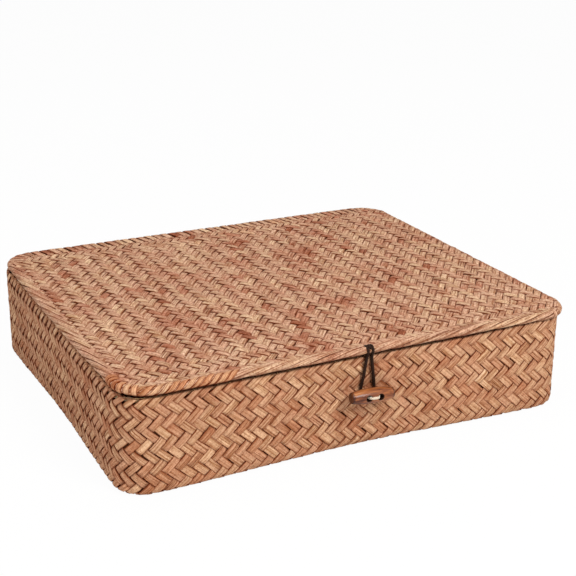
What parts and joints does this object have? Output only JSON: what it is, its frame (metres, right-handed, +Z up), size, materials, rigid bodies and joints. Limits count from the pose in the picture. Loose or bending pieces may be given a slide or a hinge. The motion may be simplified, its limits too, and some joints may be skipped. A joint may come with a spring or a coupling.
{
  "type": "woven lidded box",
  "caption": "Flat plaited strip box with rounded corners, a lashed hinged lid and a cord loop that fastens over a wooden toggle.",
  "frame": {"origin": "middle of the underside, on the surface that the box stands on", "axes": "+Z up out of the base, X along the front, +Y towards the hinge at the back"},
  "size_m": [0.3429, 0.3048, 0.0775],
  "materials": {
    "plaited_strip": "dry plaited plant strips in tan and reddish brown, matt with a faint sheen",
    "pale_strip": "dry plaited plant strips, undyed, matt",
    "card": "raw grey-brown board",
    "cane": "split cane, smooth and unvarnished",
    "pale_cord": "twisted natural cord",
    "dark_cord": "tightly twisted near-black cord with a slight wax sheen",
    "red_wood": "turned red-brown wood, glossy varnish",
    "cream_thread": "plain cream cotton thread"
  },
  "bodies": {
    "basket": {"outer_weave": "plaited_strip", "inner_weave": "pale_strip", "wall_card": "card", "floor_card": "card", "rim_fold": "plaited_strip", "rim_cane": "cane", "hinge_lashing_left": "pale_cord", "hinge_lashing_right": "pale_cord"},
    "lid": {"lid_top_weave": "plaited_strip", "lid_lining": "pale_strip", "lid_card": "card", "lid_cane": "cane", "fastening_loop": "dark_cord"},
    "toggle": {"toggle_button": "red_wood", "toggle_stitch": "cream_thread"}
  },
  "joints": [
    {"name": "lid_hinge", "type": "hinge", "parent": "basket", "child": "lid", "pos_m": [0, 0.14365, 0.07305], "axis": [-1, 0, 0], "range_deg": [0, 193], "deforming": ["fastening_loop"]},
    {"name": "toggle_swivel", "type": "hinge", "parent": "basket", "child": "toggle", "pos_m": [0.003, -0.15103, 0.0432], "axis": [0, 1, 0], "range_deg": [-90, 90]}
  ]
}
